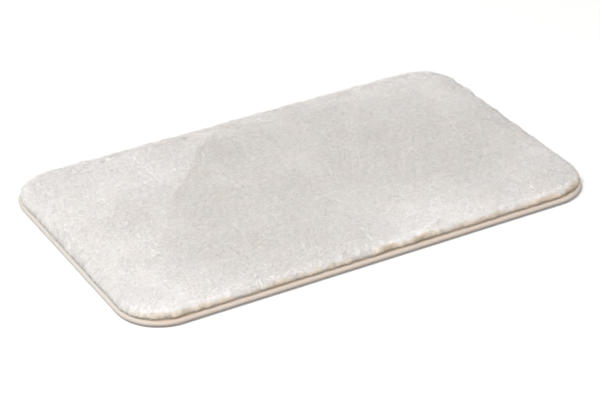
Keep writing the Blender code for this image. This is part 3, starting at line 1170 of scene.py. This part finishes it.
def makeInnerLayers():
    foam = slab("foam_pad", aroundEdge(0.0, flatInset), inside["step"])
    foam.data.materials.append(foamMaterial())
    inner = skin(1, layers["gap"], layers["trimAngle"], flatInset)
    outer = skin(1, clothOver, layers["trimAngle"], flatInset)
    ground = slab("ground_knit", inner[::-1] + outer, inside["step"])
    ground.data.materials.append(knitMaterial("ground knit", inside["groundPaint"],
                                              inside["backingShade"]))
    inner = skin(-1, layers["gap"], layers["trimAngle"], flatInset)
    outer = skin(-1, clothOver, layers["trimAngle"], flatInset)
    backing = slab("backing_knit", outer[::-1] + inner, inside["step"])
    backing.data.materials.append(knitMaterial("backing cloth", inside["backingPaint"],
                                               inside["backingShade"]))
    for obj, node, slot in ((foam, "foam_core", "foam"), (ground, "ground_cloth", "ground_knit"),
                            (backing, "backing_cloth", "backing")):
        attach(obj, "root")
        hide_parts(node)


makeInnerLayers()
print("inner layers ready")

# Anti-slip dots printed on the backing cloth
grip = {
    "pitch": 0.0095,
    "radius": 0.0018,
    "paint": (0.78, 0.77, 0.72, 1.0),
    "seed": 3,
}


def rubberMaterial():
    material, tree, shader = newMaterial("anti-slip print", 0.42, specular=0.45)
    place = objectPlace(tree)
    cloud = noiseAt(tree, place, 55.0, 3.0)
    speck = noiseAt(tree, place, 1200.0, 2.0)
    shade = maths(tree, "MULTIPLY", stretched(tree, cloud, 0.3, 0.7, 0.93, 1.04),
                  stretched(tree, speck, 0.3, 0.7, 0.95, 1.03))
    paintWith(tree, shader, grip["paint"], shade)
    tree.links.new(stretched(tree, speck, 0.3, 0.7, 0.36, 0.52), shader.inputs["Roughness"])
    bumpOn(tree, shader, speck, 0.2, 0.0001)
    return material


def dotShape():
    # a dome that hangs down from the cloth to the floor, of radius 1 and height 1
    rings = ((1.0, 1.0), (0.93, 0.42), (0.55, 0.06))
    places = []
    for radius, z in rings:
        for corner in range(8):
            angle = 2 * math.pi * corner / 8
            places.append((radius * math.cos(angle), radius * math.sin(angle), z))
    places.append((0.0, 0.0, 0.0))
    faces = [tuple(range(8))] + tubeFaces(len(rings), 8)
    for corner in range(8):
        faces.append((16 + corner, 16 + (corner + 1) % 8, 24))
    return addShape("dot_shape", places, faces)


def dotTree(shape, material):
    tree, given = newTree("grip dots", (
        ("radius", "Float", grip["radius"]), ("height", "Float", 0.001),
        ("uneven", "Float", 0.08), ("seed", "Int", grip["seed"]),
    ))
    vary = addNode(tree, "FunctionNodeRandomValue", {2: -1.0, 3: 1.0, "Seed": given["seed"]},
                   data_type="FLOAT")
    uneven = addNode(tree, "ShaderNodeMath", {0: vary.outputs[1], 1: given["uneven"], 2: 1.0},
                     operation="MULTIPLY_ADD")
    across = maths(tree, "MULTIPLY", given["radius"], uneven.outputs[0])
    size = addNode(tree, "ShaderNodeCombineXYZ", {0: across, 1: across, 2: given["height"]})
    info = addNode(tree, "GeometryNodeObjectInfo", {"Object": shape})
    planted = addNode(tree, "GeometryNodeInstanceOnPoints",
                      {"Points": given["Geometry"], "Instance": info.outputs["Geometry"],
                       "Scale": size.outputs[0]})
    finishTree(tree, planted.outputs[0], material)
    return tree


def makeDots():
    rowStep = grip["pitch"] * math.sqrt(3) / 2
    edge = halfWidth - dotsHigh.y + grip["radius"]
    around = 0.003 + grip["radius"]
    places = []
    rows = int(halfWidth / rowStep) + 1
    columns = int(halfLength / grip["pitch"]) + 1
    for row in range(-rows, rows + 1):
        for column in range(-columns, columns + 1):
            x = (column + 0.5 * (row % 2)) * grip["pitch"]
            y = row * rowStep
            byLabel = labelLow.x - around < x < labelHigh.x + around and y > labelLow.y - around
            if abs(x) < halfLength and abs(y) < halfWidth and insetOf(x, y) > edge and not byLabel:
                places.append((x, y, 0.0))
    mesh = bpy.data.meshes.new("dot_places")
    mesh.from_pydata(places, [], [])
    base = addObject("dot_places", mesh)
    shape = dotShape()
    tree = dotTree(shape, rubberMaterial())
    obj = grow("grip_dot_print", base, tree, {"height": dotsHigh.z + layers["gap"]})
    bpy.data.objects.remove(base)
    bpy.data.objects.remove(shape)
    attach(obj, "root")
    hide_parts("grip_dots")
    print(len(places), "dots")


makeDots()
print("grip dots ready")

# Care label: a blank satin ribbon, folded, with its ends caught in the seam
label = {
    "leaf": 0.00025,
    "columns": 14,
    "paint": (0.88, 0.88, 0.865, 1.0),
    "edgePaint": (0.80, 0.80, 0.78, 1.0),
    "threadPitch": 0.0005,
}


def ribbonMaterial():
    material, tree, shader = newMaterial("label ribbon", 0.38, specular=0.5, sheen=0.15)
    place = objectPlace(tree)
    parts = addNode(tree, "ShaderNodeSeparateXYZ", {0: place})
    turn = 2 * math.pi / label["threadPitch"]
    warp = maths(tree, "SINE", maths(tree, "MULTIPLY", parts.outputs[0], turn))
    weft = maths(tree, "SINE", maths(tree, "MULTIPLY", parts.outputs[1], turn * 0.5))
    weave = maths(tree, "ADD", warp, maths(tree, "MULTIPLY", weft, 0.4))
    fromMiddle = maths(tree, "ABSOLUTE", maths(tree, "SUBTRACT", parts.outputs[0],
                                               (labelLow.x + labelHigh.x) / 2))
    half = (labelHigh.x - labelLow.x) / 2
    selvage = stretched(tree, fromMiddle, half - 0.0016, half - 0.001, 0.0, 1.0)
    paint = mixColors(tree, selvage, label["paint"], label["edgePaint"])
    shade = stretched(tree, weave, -1.4, 1.4, 0.95, 1.02)
    paintWith(tree, shader, paint, shade)
    bumpOn(tree, shader, weave, 0.3, 0.00006)
    return material


def leafPath(depth, steps=12):
    # a face of the label at that depth below its top, from under the seam to near the fold
    rear = labelHigh.y
    held = foamHeight(-1, tapeEnd) - tapeOver - layers["gap"] - depth
    flat = dotsHigh.z - depth
    flatStart = halfWidth - (seamInset + layers["lowerRun"])
    fold = labelLow.y + label["leaf"] + layers["gap"] / 2
    path = []
    for step in range(steps + 1):
        y = rear + (fold - rear) * step / steps
        share = (halfWidth - tapeEnd - y) / (halfWidth - tapeEnd - flatStart)
        path.append((y, ease(held, flat, share)))
    return path


def makeLabel():
    thickness = 2 * label["leaf"] + layers["gap"]
    foldY, foldZ = leafPath(0.0)[-1]
    foldZ -= thickness / 2
    bends = []
    for radius in (thickness / 2, layers["gap"] / 2):
        angles = [math.pi / 2 + math.pi * step / 8 for step in range(1, 8)]
        bends.append([(foldY + radius * math.cos(angle), foldZ + radius * math.sin(angle))
                      for angle in angles])
    outside = leafPath(0.0) + bends[0] + leafPath(thickness)[::-1]
    inner = leafPath(label["leaf"]) + bends[1] + leafPath(label["leaf"] + layers["gap"])[::-1]
    profile = outside + inner[::-1]
    places, faces, count = [], [], len(profile)
    for column in range(label["columns"] + 1):
        x = labelLow.x + (labelHigh.x - labelLow.x) * column / label["columns"]
        sag = 0.00008 * math.sin(column * 1.3)
        places += [(x, y, z + sag * (1 if y < halfWidth - tapeEnd else 0)) for y, z in profile]
    for column in range(label["columns"]):
        for point in range(count):
            beside = (point + 1) % count
            start = column * count
            faces.append((start + point, start + beside, start + count + beside, start + count + point))
    for start in (0, label["columns"] * count):
        half = count // 2
        for point in range(half - 1):
            faces.append((start + point, start + point + 1, start + count - 2 - point,
                          start + count - 1 - point))
    mesh = bpy.data.meshes.new("care_ribbon")
    mesh.from_pydata(places, [], faces)
    turnOutwards(mesh)
    mesh.set_sharp_from_angle(angle=math.radians(50))
    obj = addObject("care_ribbon", mesh)
    mesh.materials.append(ribbonMaterial())
    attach(obj, "root")
    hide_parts("care_label")


makeLabel()
print("care label ready")
